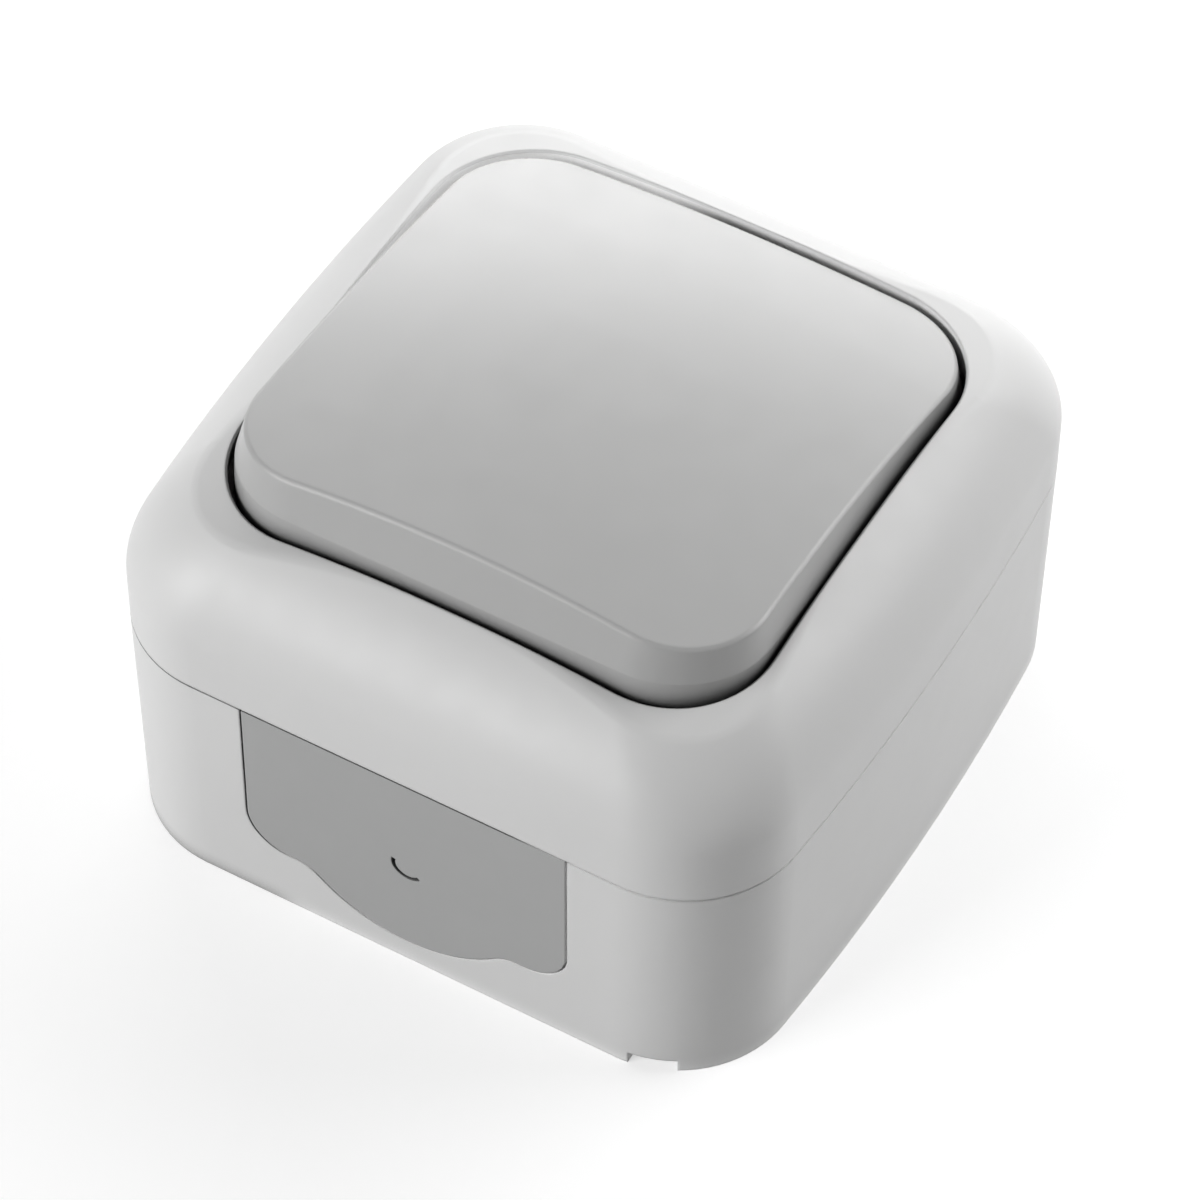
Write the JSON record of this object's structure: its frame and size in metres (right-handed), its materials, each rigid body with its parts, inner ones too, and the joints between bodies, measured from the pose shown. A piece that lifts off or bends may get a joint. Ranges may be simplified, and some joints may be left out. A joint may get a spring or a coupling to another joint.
{
  "type": "outdoor weatherproof switch",
  "caption": "Square surface-mounted weatherproof light switch with a wide tilting rocker, a domed screw-down cover, a sealed box and a slide-in cable-entry plate.",
  "frame": {"origin": "middle of the box's back, in the wall plane", "axes": "+Z away from the wall, out through the rocker; -Y towards the side with the cable-entry plate; +X to the right of that plate, seen from the front"},
  "size_m": [0.072, 0.072, 0.0487],
  "materials": {
    "housing_grey": "satin, very fine grain",
    "rocker_grey": "satin",
    "plate_grey": "soft, matte",
    "seal_rubber": "matte",
    "mechanism_plastic": "matte",
    "carrier_plastic": "matte",
    "screw_steel": "zinc plated",
    "contact_brass": "satin",
    "contact_silver": "polished",
    "spring_steel": "bright"
  },
  "bodies": {
    "enclosure": {"back_box": "housing_grey", "cable_entry_plate": "plate_grey", "cover": "housing_grey", "cover_gasket": "seal_rubber", "cover_screws": "screw_steel", "sealing_membrane": "seal_rubber", "mechanism_frame": "mechanism_plastic", "frame_screws": "screw_steel", "mechanism_housing": "mechanism_plastic", "housing_screws": "screw_steel", "common_contact": "contact_brass", "fixed_contact": "contact_brass", "fixed_contact_tip": "contact_silver", "terminal_clamps": "screw_steel", "terminal_screws": "screw_steel"},
    "rocker_unit": {"rocker": "rocker_grey", "rocker_carrier": "carrier_plastic", "plunger_spring": "spring_steel"},
    "plunger_body": {"plunger": "carrier_plastic"},
    "contact_blade": {"moving_contact": "contact_brass", "moving_contact_tip": "contact_silver"}
  },
  "joints": [
    {"name": "rocker_hinge", "type": "hinge", "parent": "enclosure", "child": "rocker_unit", "pos_m": [0, 0, 0.0363], "axis": [1, 0, 0], "range_deg": [0, 12.6], "deforming": ["sealing_membrane"]},
    {"name": "plunger_slide", "type": "slide", "parent": "rocker_unit", "child": "plunger_body", "axis": [0, 0.1097, 0.994], "range_m": [0, 0.0008], "stiffness_N_per_m": 600, "springref_m": -0.003, "deforming": ["plunger_spring"]},
    {"name": "contact_rock", "type": "hinge", "parent": "enclosure", "child": "contact_blade", "pos_m": [0, 0, 0.02193], "axis": [1, 0, 0], "range_deg": [-14, 0]}
  ],
  "couplings": [
    {"joint": "contact_rock", "follows": "rocker_hinge", "ratio": -1.1111}
  ]
}
